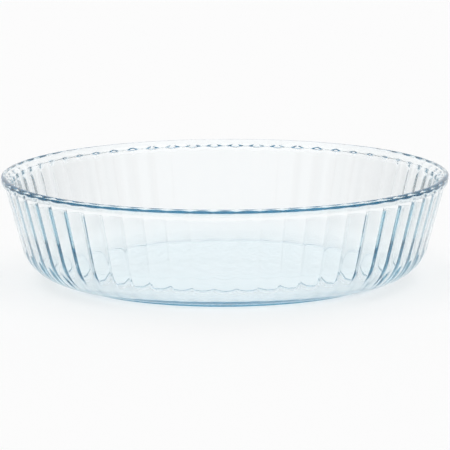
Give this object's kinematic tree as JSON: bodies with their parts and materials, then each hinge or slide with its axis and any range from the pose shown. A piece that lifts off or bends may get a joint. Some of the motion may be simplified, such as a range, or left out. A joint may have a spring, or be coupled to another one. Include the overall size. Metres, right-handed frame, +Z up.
{
  "type": "fluted glass baking dish",
  "caption": "Round clear-glass baking dish with a leaning fluted wall, rounded heel, flat floor, low flat foot and a smooth rim bevelled on the inside, for oven cooking and serving.",
  "frame": {"origin": "centre of the dish on the table plane, at the foot's underside", "axes": "+Z up along the dish's axis, -Y towards the front"},
  "size_m": [0.26, 0.26, 0.062],
  "materials": {
    "clear_glass": "smooth pressed oven glass, clear, blue where it is seen edge on"
  },
  "bodies": {
    "root": {"foot_plate": "clear_glass", "floor_plate": "clear_glass", "heel_ring": "clear_glass", "fluted_wall": "clear_glass", "rim_bead": "clear_glass"}
  },
  "joints": []
}
